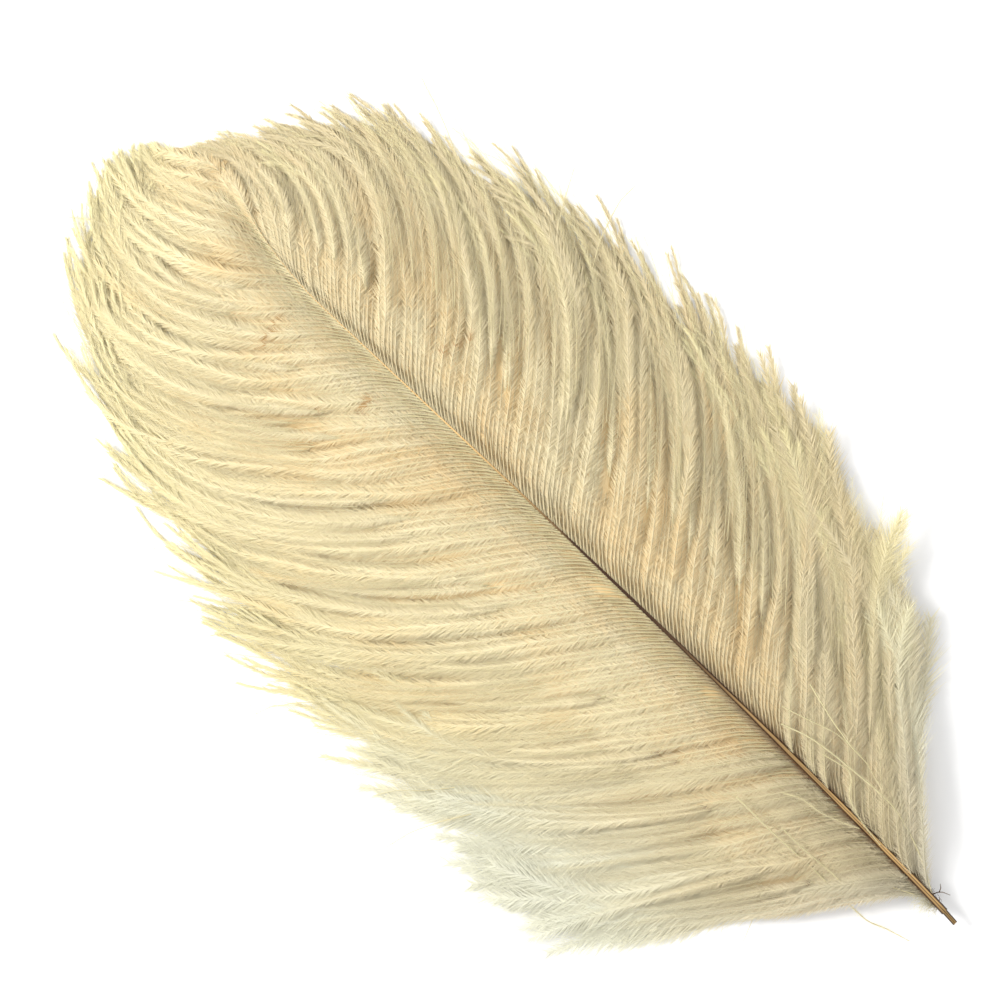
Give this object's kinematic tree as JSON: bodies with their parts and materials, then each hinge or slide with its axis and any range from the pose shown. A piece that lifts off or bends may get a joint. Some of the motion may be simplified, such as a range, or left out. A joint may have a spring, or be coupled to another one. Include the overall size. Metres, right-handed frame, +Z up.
{
  "type": "ostrich feather",
  "caption": "Loose plume lying flat: slim grooved shaft with a cut foot, soft drooping vanes of unequal width gathered in overlapping locks, and a rounded tip.",
  "frame": {"origin": "bottom centre of the feather's box, on the surface it lies on", "axes": "+Y along the shaft from the cut foot to the tip, +X towards the narrower vane, +Z up, the grooved side of the shaft facing up"},
  "size_m": [0.1746, 0.2998, 0.0154],
  "materials": {
    "plume": "soft cream to straw barbs, matt, slightly translucent",
    "horn": "satin brown horn with a lighter groove"
  },
  "bodies": {
    "root": {"feather": "plume"}
  },
  "joints": []
}
